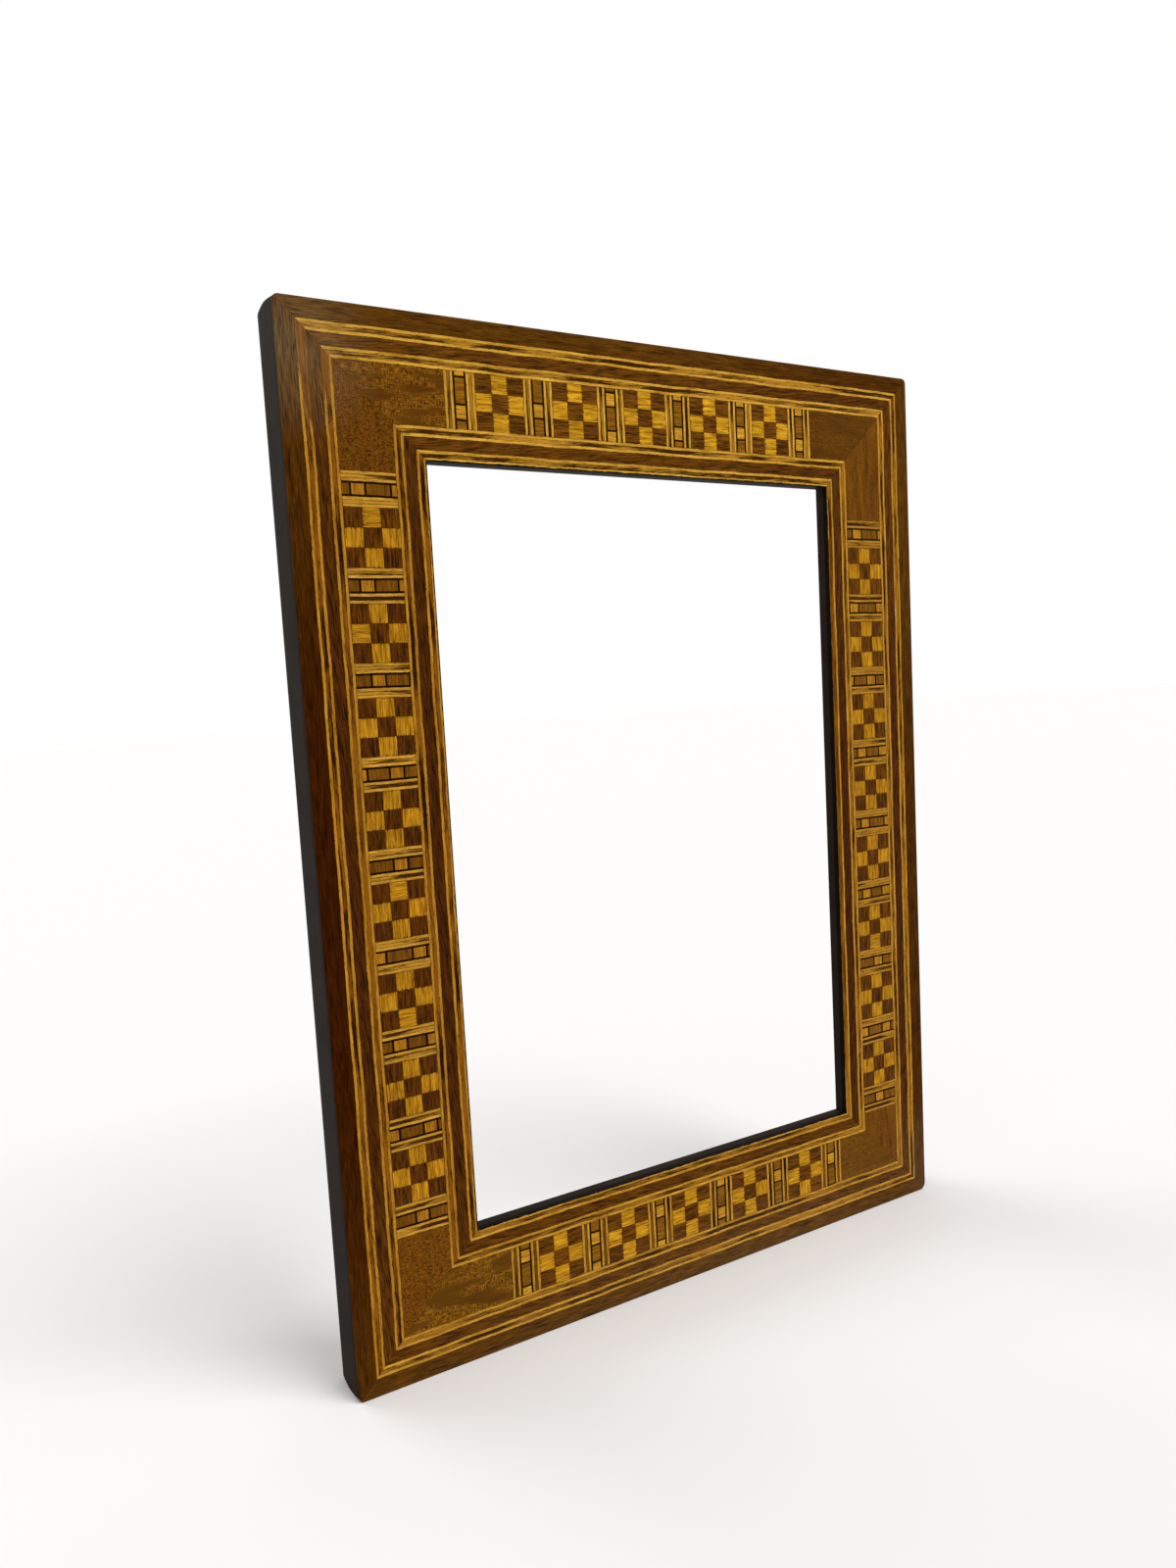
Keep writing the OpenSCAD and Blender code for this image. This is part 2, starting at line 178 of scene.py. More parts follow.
# Large soft lamps: where each shines from, its width in degrees and the share of plain white
# that it gives on a surface turned to it; and the strength of the white world round them
LAMPS = (
    ("key_lamp", (0.4, -0.7, 1.3), 30, 0.52),
    ("back_lamp", (-0.6, 1.0, 0.9), 40, 0.22),
)
WORLD = 0.5
FLOOR_RADIUS, FLOOR_SIDES = 20, 96
# The photograph's size in pixels, and its viewpoint, worked out from the frame's lines: the
# lens, the sensor's longer side, the pixel straight ahead, the place and the directions
PHOTO = (1200, 1600)
LENS, SENSOR, CENTRE = 25.292, 36, (593.6, 826.5)
VIEW_FROM = (-0.2673, FRONT - 0.3891, 0.2612)
AHEAD = (0.50067, 0.85989, -0.09955)
UP = (0.09765, 0.05817, 0.99352)


def linear(code):
    """An sRGB hex colour as linear RGB, by the standard's two-part curve."""
    values = [int(code[i : i + 2], 16) / 255 for i in (1, 3, 5)]
    return tuple(v / 12.92 if v <= 0.04045 else ((v + 0.055) / 1.055) ** 2.4 for v in values)


def colour(name, description, code):
    return bpy.props.FloatVectorProperty(
        name=name, description=description, subtype="COLOR", size=3, min=0, max=1,
        default=linear(code))


def length(name, description, default):
    return bpy.props.FloatProperty(
        name=name, description=description, default=default, min=0, unit="LENGTH", precision=6)


# The pale and the deep colour of each grain; on the dark tiles the pale one is that of the flecks
GRAINS = {
    "border": ("walnut border", "#74480f", "#2a1403"),
    "strip": ("walnut strips", "#7c4a0a", "#281201"),
    "line": ("boxwood lines", "#f4be4c", "#a87211"),
    "core": ("maple cores", "#ba8424", "#3e2103"),
    "figured": ("corner veneers", "#9e6a14", "#4a2804"),
    "dark": ("dark tiles", "#84500c", "#301601"),
    "light": ("light tiles", "#f0b426", "#8d5b08"),
    "ladder_brown": ("brown ladder blocks", "#9c6814", "#5e3806"),
    "ladder_light": ("light ladder blocks", "#e6ab30", "#9c6711"),
    "stain": ("stained bandings", "#a87012", "#693d06"),
    "stringing": ("black stringing", "#120d0a", "#241002"),
    "back": ("bare back", "#ab8a60", "#7a5a38"),
    "key": ("mitre keys", "#c8a272", "#9a7448"),
}


class InlaidFrameSizes(bpy.types.PropertyGroup):
    stray: length("Joint stray", "How far the hand-cut joints stray from straight", 0.16 * MM)
    softness: length("Edge softness", "Rounding of a veneer's edge after sanding", 0.07 * MM)
    sunk: length("Sunk", "How far a veneer may lie below the face", 0.04 * MM)
    arris: length("Arris", "Rounding of the border's outer front edge", 0.5 * MM)
    corner: length("Corner", "Rounding of three outer corners", 2.4 * MM)
    worn_corner: length("Worn corner", "Rounding of the worn bottom right corner", 3.6 * MM)
    swell: bpy.props.FloatProperty(
        name="Swell", description="How much sharper the corners are at half their depth",
        default=0.95, min=0, max=1)
    back_edge: length("Back edge", "Rounding of the outer back edge", 1.2 * MM)
    bare_edge: length("Bare edge", "How much of the border's side the paint leaves bare", 1.0 * MM)
    outer_reach: length("Outer reach", "How uneven the paint's edge on the border is", 0.3 * MM)
    sight_reach: length("Sight reach", "How far the paint laps over the sight edge", 0.55 * MM)


class InlaidFrameColours(bpy.types.PropertyGroup):
    torn: colour("Torn fibres", "Dark filler in torn fibres and open pores", "#241002")
    paint: colour("Paint", "Black paint of the sides and the sight edge", "#241d18")
    # Painted highlight: a pale grey that stands in for light shining on the paint's broken edge
    glint: colour("Painted glint", "Specks where the paint's broken edge shines", "#8f9096")
    brass: colour("Brass", "Clean brass", "#c2a15a")
    tarnish: colour("Tarnish", "Dull brass", "#94783e")
    dark_varnish: colour("Varnish, dark wood", "What it lets through on dark wood", "#ae863f")
    brown_varnish: colour("Varnish, pale wood", "What it lets through on pale wood", "#bfa47c")
    core_varnish: colour("Varnish, divider core", "What it lets through there", "#a4947c")
    # Painted sheen: a pale colour that stands in for the varnish's reflection
    painted_sheen: colour("Painted sheen", "Pale painted sheen on the varnish", "#a89670")
    floor: colour("Floor", "Pale floor", "#f6f5f4")


for key, (what, *codes) in GRAINS.items():
    for tone, code in zip(("pale", "deep"), codes):
        InlaidFrameColours.__annotations__[f"{key}_{tone}"] = colour(
            f"{what}, {tone}".capitalize(), f"{tone} grain of the {what}".capitalize(), code)


# ---- shapes ----


def on_side(side, u, v):
    """Carries a point drawn along one side to x and z: u runs from the side's middle, to the
    right or up, and v runs inwards from the outer edge."""
    if side == "bottom":
        return u, v
    if side == "top":
        return u, HEIGHT - v
    if side == "left":
        return v - WIDTH / 2, HEIGHT / 2 + u
    return WIDTH / 2 - v, HEIGHT / 2 + u


def hand_cut(x, z, stray):
    """Lets points stray as hand-cut joints do: by the sum of sine waves in random directions,
    less near the panel's middle and not at all at the outer edge and at the sight edge."""
    rng = np.random.default_rng(SEED)
    inward = np.minimum(np.minimum(x + WIDTH / 2, WIDTH / 2 - x), np.minimum(z, HEIGHT - z))
    fade = np.clip(inward / OUTER_FADE, 0, 1) * np.clip((MOULDING - inward) / SIGHT_FADE, 0, 1)
    away = np.clip(np.abs(inward - PANEL_MIDDLE) / CALM_REACH - CALM_FROM, 0, 1)
    fade = fade * (CALM + (1 - CALM) * away)
    moved = np.zeros((2,) + x.shape)
    for wave, share in STRAY_WAVES:
        for axis in (0, 1):
            turn, phase = rng.uniform(0, 2 * math.pi, 2)
            along = (x * math.cos(turn) + z * math.sin(turn)) * 2 * math.pi / (wave * MM)
            moved[axis] += share * stray * np.sin(along + phase)
    return x + moved[0] * fade, z + moved[1] * fade


def outlines(node):
    """The front outlines of a CAD node's solids: the side of each, and its four corners in that
    side's u and v, as corners[v][u]. The solids are the connected parts of the node's mesh, and
    a solid's side is the nearest outer edge."""
    mesh = frame["nodes"][node].data
    points = np.empty(len(mesh.vertices) * 3)
    mesh.vertices.foreach_get("co", points)
    corner = np.empty(len(mesh.loops), int)
    mesh.loops.foreach_get("vertex_index", corner)
    points, index = np.unique(np.round(points.reshape(-1, 3), 7), axis=0, return_inverse=True)
    triangles = index.ravel()[corner].reshape(-1, 3)
    label = np.arange(len(points))
    while True:
        spread = label.copy()
        np.minimum.at(spread, triangles.ravel(), np.repeat(label[triangles].min(1), 3))
        if (spread == label).all():
            break
        label = spread
    sides, quads = [], []
    for one in np.unique(label):
        mine = points[(label == one) & (points[:, 1] < FRONT + 0.01 * MM)]
        x, z = mine[:, 0], mine[:, 2]
        gaps = dict(zip(SIDES, (HEIGHT - z, z, x + WIDTH / 2, WIDTH / 2 - x)))
        side = min(gaps, key=lambda each: gaps[each].mean())
        u, v = x if side in LEVEL else z - HEIGHT / 2, gaps[side]
        order = np.argsort(v)
        rows = [row[np.argsort(u[row])] for row in (order[:2], order[2:])]
        sides.append(side)
        quads.append([np.stack([u[row], v[row]], -1) for row in rows])
    return np.array(sides), np.array(quads)


def shell(name, node, points, faces, uv, material, values, smooth=None):
    """Replaces a CAD node by one piece of closed shells that share their faces. points is
    (shells, points, 3), and values holds one number or three for each point. A shell whose
    signed volume, the sum of a.(b x c) / 6 over its triangles, is negative has its faces turned
    over, so that all of them point outwards."""
    a, b, c, d = (points[:, faces[:, i]] for i in range(4))
    volume = (a * np.cross(b, c)).sum((1, 2)) + (a * np.cross(c, d)).sum((1, 2))
    turned = np.where(volume[:, None, None] < 0, faces[None, :, ::-1], faces[None])
    turned = (turned + (np.arange(len(points)) * points.shape[1])[:, None, None]).reshape(-1, 4)
    mesh = bpy.data.meshes.new(name)
    mesh.from_pydata(points.reshape(-1, 3), [], turned, shade_flat=False)
    grain = mesh.uv_layers.new(name="grain")
    grain.data.foreach_set("uv", uv.reshape(-1, 2)[turned].astype(np.float32).reshape(-1))
    for label, data in values.items():
        kind, field = (("FLOAT_VECTOR", "vector") if data.size == points.size
                       else ("FLOAT", "value"))
        attribute = mesh.attributes.new(label, kind, "POINT")
        attribute.data.foreach_set(field, data.reshape(-1).astype(np.float32))
    if smooth is None:
        mesh.shade_flat()
    else:
        mesh.set_sharp_from_angle(angle=smooth)
    mesh.validate()
    piece = bpy.data.objects.new(name, mesh)
    bpy.context.scene.collection.objects.link(piece)
    mesh.materials.append(material)
    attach(piece, "root")
    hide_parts(node)


def stained(side, u, v):
    """How far a point of a banding lies inside the stained length: below the left stile's top
    end, where each line clears at its own height, and along the right stile's sight edge."""
    if side == "left":
        return np.interp(v, STAIN_LINES, STAIN_LENGTHS, right=-1) - (HEIGHT / 2 - u)
    if side == "right":
        inside = HEIGHT / 2 - MOULDING - STAIN_CLEAR - np.abs(u)
        return np.where(v > MOULDING - BORDER / 2, inside, -1)
    return np.full(u.shape, -1)


def varnish_and_shade(side, u, kind):
    """How little the varnish tint darkens at u along a side, partly the old varnish and partly
    painted shade and sheen: one value, or else the value at the ends less the darkening times a
    flat bell curve, e to the power of minus the fourth power of the distance over the reach."""
    values = VARNISH_AND_SHADE[kind][SIDES.index(side)]
    if not isinstance(values, tuple):
        return np.full(u.shape, values)
    ends, darker, middle, reach = values
    along = 0.5 + u / WIDTH if side in LEVEL else 0.5 - u / HEIGHT
    return ends - darker * np.exp(-(((along - middle) / reach) ** 4))


def veneers(node, name, material, kind, step=2.4 * MM, along=True, painted=False,
            turned=0.0):
    """Replaces a face node by veneers, each a grid over its front, a skirt down to the ground
    and the same grid on its back. A point of the grid is the mean of the four corners weighted
    by its fractions s and t; the outermost ring lies lower by the softness, and every point then
    strays as the hand-cut joints do. kind is the wood's row in VARNISH_AND_SHADE, along says whether the
    grain runs along the side, and turned is the share of veneers whose grain runs across it."""
    sizes = bpy.context.scene.inlay_sizes
    sides, quads = outlines(node)
    rng = np.random.default_rng(SEED + sum(map(ord, node)))
    count = len(quads)
    size_u = np.abs(quads[:, :, 1, 0] - quads[:, :, 0, 0]).max(1)
    size_v = np.abs(quads[:, 1, :, 1] - quads[:, 0, :, 1]).max(1)

    def fractions(size):
        stations = max(1, math.ceil(size.max() / step)) + 1
        edge = (sizes.softness / size)[:, None]
        inner = edge + (1 - 2 * edge) * np.linspace(0, 1, stations)
        return np.concatenate([np.zeros((count, 1)), inner, np.ones((count, 1))], 1)

    s, t = fractions(size_u)[:, :, None], fractions(size_v)[:, None]
    uv = sum(
        (t if j else 1 - t)[..., None] * (s if i else 1 - s)[..., None]
        * quads[:, None, None, j, i] for i in (0, 1) for j in (0, 1)).reshape(count, -1, 2)
    x, z, clear, stain = np.empty((4,) + uv.shape[:2])
    for side in SIDES:
        mine = sides == side
        u, v = uv[mine, :, 0], uv[mine, :, 1]
        x[mine], z[mine] = on_side(side, u, v)
        clear[mine] = varnish_and_shade(side, u, kind)
        stain[mine] = stained(side, u, v)
    x, z = hand_cut(x, z, sizes.stray)
    ring = np.ones((s.shape[1], t.shape[2]))
    ring[1:-1, 1:-1] = 0
    depth = sizes.sunk * rng.random((count, 1))
    front = FRONT + depth + sizes.softness * ring.reshape(-1)
    points = np.concatenate([np.stack([x, front, z], -1),
                             np.stack([x, np.full_like(x, GROUND), z], -1)], 1)
    grid = np.arange(ring.size).reshape(ring.shape)
    face = np.stack([grid[:-1, :-1], grid[1:, :-1], grid[1:, 1:], grid[:-1, 1:]], -1)
    face = face.reshape(-1, 4)
    loop = np.concatenate([grid[:, 0], grid[-1, 1:], grid[-2::-1, -1], grid[0, -2:0:-1]])
    after = np.roll(loop, -1)
    skirt = np.stack([after, loop, loop + grid.size, after + grid.size], -1)
    faces = np.concatenate([face, face[:, ::-1] + grid.size, skirt])
    # The place of each point in its own veneer and the veneer's size, along the grain and across
    cell = np.stack(np.broadcast_arrays(s * size_u[:, None, None], t * size_v[:, None, None], 0.0),
                    -1).reshape(count, -1, 3)
    size = np.stack([size_u, size_v, 0 * size_u], -1)[:, None] + 0 * cell
    values = {"piece": rng.random((count, 1, 3)) + 0 * cell, "clear": clear, "cell": cell,
              "size": size}
    across = rng.random(count) < (turned if along else 1)
    grain = uv.copy()
    grain[across] = grain[across][..., ::-1]
    for pair in (cell, size):
        pair[across] = pair[across][..., [1, 0, 2]]
    if painted:
        values["paint"] = uv[..., 1] - MOULDING
        values["stain"] = stain
    values = {label: np.concatenate([data, data], 1) for label, data in values.items()}
    if painted:
        values["paint"][:, grid.size :] = uv[..., 1] - MOULDING + GROUND - FRONT
    shell(name, node, points, faces, np.concatenate([grain, grain], 1), material, values)


def along_side(side, v, half, low, high, stations):
    """Paths along one side, one for each distance v from the outer edge, from mitre to mitre.
    A path starts on the 45 degree mitre, runs round the outer corner of its own radius as an
    arc of radius less v, and then straight on; past the radius it has no arc. The stations are
    distances from the mitre, stretched so that all paths meet in the middle."""
    ends = []
    for radius in (low, high):
        arc_r = np.maximum(radius - v, 0)
        arc = arc_r * math.pi / 4
        start = half - np.maximum(radius, v)
        reach = stations[:, None] / stations[-1] * (arc + start)
        turn = math.pi * 1.25 + np.where(arc > 0, reach / np.maximum(arc_r, 1e-9), 0)
        on_arc = reach < arc
        u = np.where(on_arc, -half + radius + arc_r * np.cos(turn), -start + reach - arc)
        ends.append((u, np.where(on_arc, radius + arc_r * np.sin(turn), v)))
    (low_u, low_v), (high_u, high_v) = ends
    u = np.concatenate([low_u, -high_u[-2::-1]])
    v = np.concatenate([low_v, high_v[-2::-1]])
    return on_side(side, u, v) + (u, v)


def moulded(side, name, v, y, paint, step, node, material):
    """Replaces one mitred piece by a profile carried along its side. The profile is given point
    by point: its distance v from the outer edge, y, and paint, the distance past the paint's
    edge. Stations lie close together round the corners and a step apart between them."""
    sizes = bpy.context.scene.inlay_sizes
    half = (WIDTH if side in LEVEL else HEIGHT) / 2
    stations = np.concatenate([np.arange(0, CORNER_END, CORNER_STEP),
                               np.linspace(EVEN_START, half, math.ceil(half / step))])
    way = np.concatenate([[0], np.cumsum(np.hypot(np.diff(v), np.diff(y)))])
    # The outer corners are rounded most at the front and the back and are nearly sharp between
    # them: the radius is the full one less a share of the sine of the depth
    depth = np.clip((y - GROUND) / (BACK - GROUND), 0, 1)
    rounding = 1 - sizes.swell * np.sin(math.pi * depth)
    low = high = sizes.corner * rounding
    if side == "bottom":
        high = sizes.worn_corner * rounding
    if side == "right":
        low = sizes.worn_corner * rounding
    x, z, u, v = along_side(side, v, half, low, high, stations)
    y, way, paint = (np.broadcast_to(row, u.shape) for row in (y, way, paint))
    points = np.stack([x, y, z], -1).reshape(1, -1, 3)
    columns = u.shape[1]
    grid = np.arange(u.size).reshape(u.shape)
    after = np.roll(grid, -1, 1)
    faces = [np.stack([grid[:-1], grid[1:], after[1:], after[:-1]], -1).reshape(-1, 4)]
    # The ends are closed by strips of four-sided faces between the two halves of the profile
    pairs = np.arange(columns // 2 - 1)
    for row in (grid[0], grid[-1][::-1]):
        faces.append(np.stack([row[pairs], row[pairs + 1],
                               row[columns - 2 - pairs], row[columns - 1 - pairs]], -1))
    rng = np.random.default_rng(SEED + len(name))
    values = {
        "piece": np.tile(rng.random(3), (u.size, 1)),
        "clear": varnish_and_shade(side, u, "border"),
        "paint": paint,
        "cell": np.stack([half - np.abs(u) - v, way, 0 * u], -1),
        "size": np.tile((1.0, 1.0, 0.0), (u.size, 1)),
    }
    shell(name, node, points, np.concatenate(faces), np.stack([u, way], -1), material,
          values, SHARP)


# ---- materials ----


def feed(node, inputs):
    """Gives each socket, by its name or place, its value or the output that feeds it. Colours
    come without their alpha."""
    for key, value in inputs.items():
        socket = node.inputs[key]
        if isinstance(value, bpy.types.NodeSocket):
            node.id_data.links.new(value, socket)
        else:
            socket.default_value = (*value, 1) if socket.type == "RGBA" else value


def add(tree, kind, *inputs, out=None, **settings):
    """Adds a node and returns its output out, or else its first. settings are its own
    properties, and inputs feed the sockets that these put to use, in their order."""
    node = tree.nodes.new("ShaderNode" + kind)
    for name, value in settings.items():
        setattr(node, name, value)
    used = [place for place, socket in enumerate(node.inputs) if socket.enabled]
    feed(node, dict(zip(used, inputs)))
    return node.outputs[out] if out else next(s for s in node.outputs if s.enabled)


def blank(name):
    """A new material, its shader and the function that adds a node to it."""
    material = bpy.data.materials.new(name)
    material.use_nodes = True
    tree = material.node_tree
    return material, tree.nodes["Principled BSDF"], partial(add, tree)


def wood(name, tones, streak, fibre, contrast, tone=0.06, fleck=0.0, dash=0.0, curl=0.0,
         bite=0.0, nibble=0.0, seam=0.5, wander=0.3, slant=0.0, drift=0.0, rough=0.42,
         stain=False, figure=None, torn="torn", varnish="brown_varnish"):
    """Sliced wood under a satin varnish. Broad streaks and fine fibres run along the grain UV,
    from another place in the log for each piece, in the pale and the deep colour of the row
    tones in GRAINS. fleck is how dark the open pores are, dash how much of the wood long dark
    splits take up, curl how dark the ripples across the grain are, and drift how much the tone
    changes slowly along it. The saw tore the fibres: bite is how far at the grain's ends and
    nibble at its sides, and the gaps are filled with the colour torn. With stain, the wood is
    stained where the attribute of that name is above a ragged limit.
    streak, fibre, bite, nibble and wander are in millimetres and the rest are shares."""
    colours = bpy.context.scene.inlay_colours
    material, shader, node = blank(name)
    piece = node("Attribute", attribute_name="piece", out="Vector")
    drawn = node("SeparateXYZ", piece).node.outputs
    place = node("UVMap", uv_map="grain")
    place = node("VectorMath", piece, LOG_STEP, place, operation="MULTIPLY_ADD")
    place = node("VectorRotate", place, (0, 0, 0), (0, 0, 1), slant)
    # The bends' noise varies by about a quarter, so it counts four times
    bend = node("TexNoise", place, BENDS, 3, out="Color")
    place = node("VectorMath", bend, (0, wander * MM * 4, 0), place, operation="MULTIPLY_ADD")
    # Noises drawn out along the grain: whether the wood has them, how long and how wide they
    # are in millimetres, and their detail
    noise = {}
    for pattern, wanted, long, wide, detail in (
            ("broad", True, streak * 9, streak, 3),
            ("fine", True, fibre * 22, fibre, 2),
            ("torn fibres", True, fibre * 4, fibre * 1.3, 1),
            ("torn sides", True, fibre * 5, fibre * 2, 4),
            ("drift", drift, 35, 5, 1),
            ("splits", dash, 7, 0.5, 2),
            ("ripples", curl, fibre * 1.4, fibre * 3, 2)):
        if wanted:
            scaled = node("VectorMath", place, (1 / (long * MM), 1 / (wide * MM), 1),
                         operation="MULTIPLY")
            noise[pattern] = node("TexNoise", scaled, 1, detail, 0.6)
    broad, fine = noise["broad"], noise["fine"]
    mixed = node("Mix", FINE_SHARE, broad, fine)
    if figure is not None:
        mixed = figure(node, place, mixed)
    if drift:
        mixed = node("Math", noise["drift"], drift, mixed, operation="MULTIPLY_ADD")
        mixed = node("Math", mixed, drift / 2, operation="SUBTRACT")
    mixed = node("MapRange", mixed, 0.5 - SPREAD / contrast, 0.5 + SPREAD / contrast)
    deep, pale = (getattr(colours, tones + end) for end in ("_deep", "_pale"))
    tint = node("Mix", mixed, deep, pale, data_type="RGBA")
    value = node("MapRange", drawn["X"], 0, 1, 1 - tone, 1 + tone)
    tint = node("HueSaturation", 0.5, 1, value, 1, tint)
    # The dark of torn fibres, splits, ripples and joints: the darkest of them shows
    dark = node("MapRange", noise["torn fibres"], *RAMPS["fleck"], 0, fleck)
    if dash:
        limits = (limit - SPLIT_SHARE * dash for limit in SPLIT)
        split = node("MapRange", noise["splits"], *limits, 0, SPLIT_DARK)
        dark = node("Math", dark, split, operation="MAXIMUM")
    if curl:
        share = node("MapRange", drawn["Z"], *RAMPS["curly piece"], 0, curl)
        ripple = node("MapRange", noise["ripples"], *RAMPS["ripple"], 0, share)
        dark = node("Math", dark, ripple, operation="MAXIMUM")
    # How near the nearest end and the nearest long edge are, against how far they are torn
    cell = node("Attribute", attribute_name="cell", out="Vector")
    rest = node("Attribute", attribute_name="size", out="Vector")
    rest = node("VectorMath", rest, cell, operation="SUBTRACT")
    near = node("VectorMath", cell, rest, operation="MINIMUM")
    edge = node("SeparateXYZ", near).node.outputs
    for axis, reach, source in (("X", bite, "torn fibres"), ("Y", nibble, "torn sides")):
        tear = node("MapRange", noise[source], *RAMPS["tear"], LEAST_TEAR,
                    (FULL_TEAR + reach) * MM)
        past = node("Math", edge[axis], tear, operation="SUBTRACT")
        gap = node("MapRange", past, 0, JOINT, seam, 0)
        dark = node("Math", dark, gap, operation="MAXIMUM")
    tint = node("Mix", dark, tint, getattr(colours, torn), data_type="RGBA")
    if stain:
        past = node("Attribute", attribute_name="stain", out="Fac")
        ragged = node("Math", broad, RAGGED_STAIN, past, operation="MULTIPLY_ADD")
        ragged = node("MapRange", ragged, *RAMPS["stain"])
        soaked = node("Mix", mixed, colours.stain_deep, colours.stain_pale, data_type="RGBA")
        tint = node("Mix", ragged, tint, soaked, data_type="RGBA")
    if varnish is not None:
        # The varnish tint colours everything under it, more where clear is low: partly the old
        # varnish and partly painted shade. Pale patches of painted sheen, a painted reflection
        # on the varnish, lie in the fibres
        clear = node("Attribute", attribute_name="clear", out="Fac")
        film = node("Mix", clear, getattr(colours, varnish), (1, 1, 1), data_type="RGBA")
        tint = node("Mix", 1, tint, film, data_type="RGBA", blend_type="MULTIPLY")
        # Painted sheen: pale patches that stand in for the varnish's reflection, ragged by the
        # streaks
        where = node("TexCoord", out="Object")
        painted_sheen = 0
        for middle, reach, share in SHEEN_PATCHES:
            away = node("VectorMath", where, middle, operation="SUBTRACT")
            away = node("VectorMath", away, reach, operation="DIVIDE")
            away = node("VectorMath", away, operation="LENGTH")
            away = node("Math", broad, RAGGED_SHEEN, away, operation="MULTIPLY_ADD")
            patch = node("MapRange", away, *RAMPS["painted_sheen"], share, 0)
            painted_sheen = node("Math", patch, painted_sheen, operation="MAXIMUM")
        fibres = node("MapRange", fine, *RAMPS["painted sheen in fibres"])
        painted_sheen = node("Math", painted_sheen, fibres, operation="MULTIPLY")
        tint = node("Mix", painted_sheen, tint, colours.painted_sheen, data_type="RGBA")
    gloss = node("MapRange", broad, *RAMPS["gloss"], *(rough + more for more in POLISH))
    raised = node("Math", fine, dark, operation="SUBTRACT")
    bump = node("Bump", *FIBRE_BUMP, raised)
    feed(shader, {"Base Color": tint, "Roughness": gloss, "Normal": bump, "IOR": 1.5,
                  "Specular IOR Level": 0.03})
    return material


def fading(node):
    """How strong the corner veneers' figure is: full on the left, less on the right."""
    where = node("TexCoord", out="Object")
    return node("MapRange", node("SeparateXYZ", where), *RAMPS["figure fades"])


def crossed_figure(node, place, mixed):
    """Figure of a cross-fire veneer: thin brown lines 0.4 mm wide, along the grain and across
    it, that sink into soft dark clouds of 22 by 5 mm."""
    noise = []
    for long, wide, detail in ((0.45, 2, 0), (2.6, 0.4, 0), (22, 5, 3)):
        scaled = node("VectorMath", place, (1 / (long * MM), 1 / (wide * MM), 1),
                     operation="MULTIPLY")
        noise.append(node("TexNoise", scaled, 1, detail))
    weave = node("Math", noise[0], noise[1], operation="MINIMUM")
    weave = node("MapRange", weave, *RAMPS["crossed lines"])
    clear = node("MapRange", noise[2], *RAMPS["clouds"])
    ground = node("Mix", CLOUD_GRAIN, CLOUD_TONE, mixed)
    shown = node("Math", clear, fading(node), operation="MULTIPLY")
    return node("Mix", shown, ground, weave)


def dimpled_figure(node, place, mixed):
    """Figure of a curly veneer: small soft curls 0.5 by 0.85 mm that lie across the grain."""
    scaled = node("VectorMath", place, (1 / (0.5 * MM), 1 / (0.85 * MM), 1), operation="MULTIPLY")
    curls = node("TexNoise", scaled, 1, 0, 0.5, 2, 1.6)
    strength = node("Math", fading(node), CURLS, operation="MULTIPLY")
    return node("Mix", strength, mixed, curls)


def paint_over(material, reach, glint=False):
    """Lays black brushed paint over a material where the attribute paint, the distance past the
    painted arris, is above minus its reach. The paint's edge is uneven and the paint is darker
    towards the front. Where asked, its broken edge gets specks of painted highlight along the
    bottom of the opening."""
    colours = bpy.context.scene.inlay_colours
    shader = material.node_tree.nodes["Principled BSDF"]
    node = partial(add, material.node_tree)
    tint, gloss = (shader.inputs[name].links[0].from_socket
                   for name in ("Base Color", "Roughness"))
    past = node("Attribute", attribute_name="paint", out="Fac")
    where = node("TexCoord", out="Object")
    edge = node("TexNoise", where, PAINT_EDGE, 4)
    edge = node("Math", edge, UNEVEN * reach, past, operation="MULTIPLY_ADD")
    mask = node("MapRange", edge, -BLURRED * reach, 0)
    brushed = node("TexNoise", where, BRUSH_MARKS, 5)
    brushed = node("MapRange", brushed, *RAMPS["brush marks"])
    deep, up = node("SeparateXYZ", where).node.outputs[1:]
    # The paint is darker towards the front
    darker_to_front = node("MapRange", deep, *RAMPS["paint darkens to front"])
    value = node("Math", brushed, darker_to_front, operation="MULTIPLY")
    coat = node("HueSaturation", 0.5, 1, value, 1, colours.paint)
    tint = node("Mix", mask, tint, coat, data_type="RGBA")
    # Painted highlight: pale specks stand in for light glinting on the paint's broken edge
    if glint:
        near = node("Math", edge, PAINTED_GLINT_PLACE, PAINTED_GLINT_WIDTH, operation="COMPARE")
        low = node("Math", up, MOULDING + MM, operation="LESS_THAN")
        near = node("Math", near, low, operation="MULTIPLY")
        glint_speck = node("TexNoise", where, PAINTED_GLINT_SPECKS)
        glint_speck = node("MapRange", glint_speck, *RAMPS["glint"], 0, near)
        tint = node("Mix", glint_speck, tint, colours.glint, data_type="RGBA")
    gloss = node("Mix", mask, gloss, PAINT_ROUGH)
    feed(shader, {"Base Color": tint, "Roughness": gloss, "Specular IOR Level": 0.01})


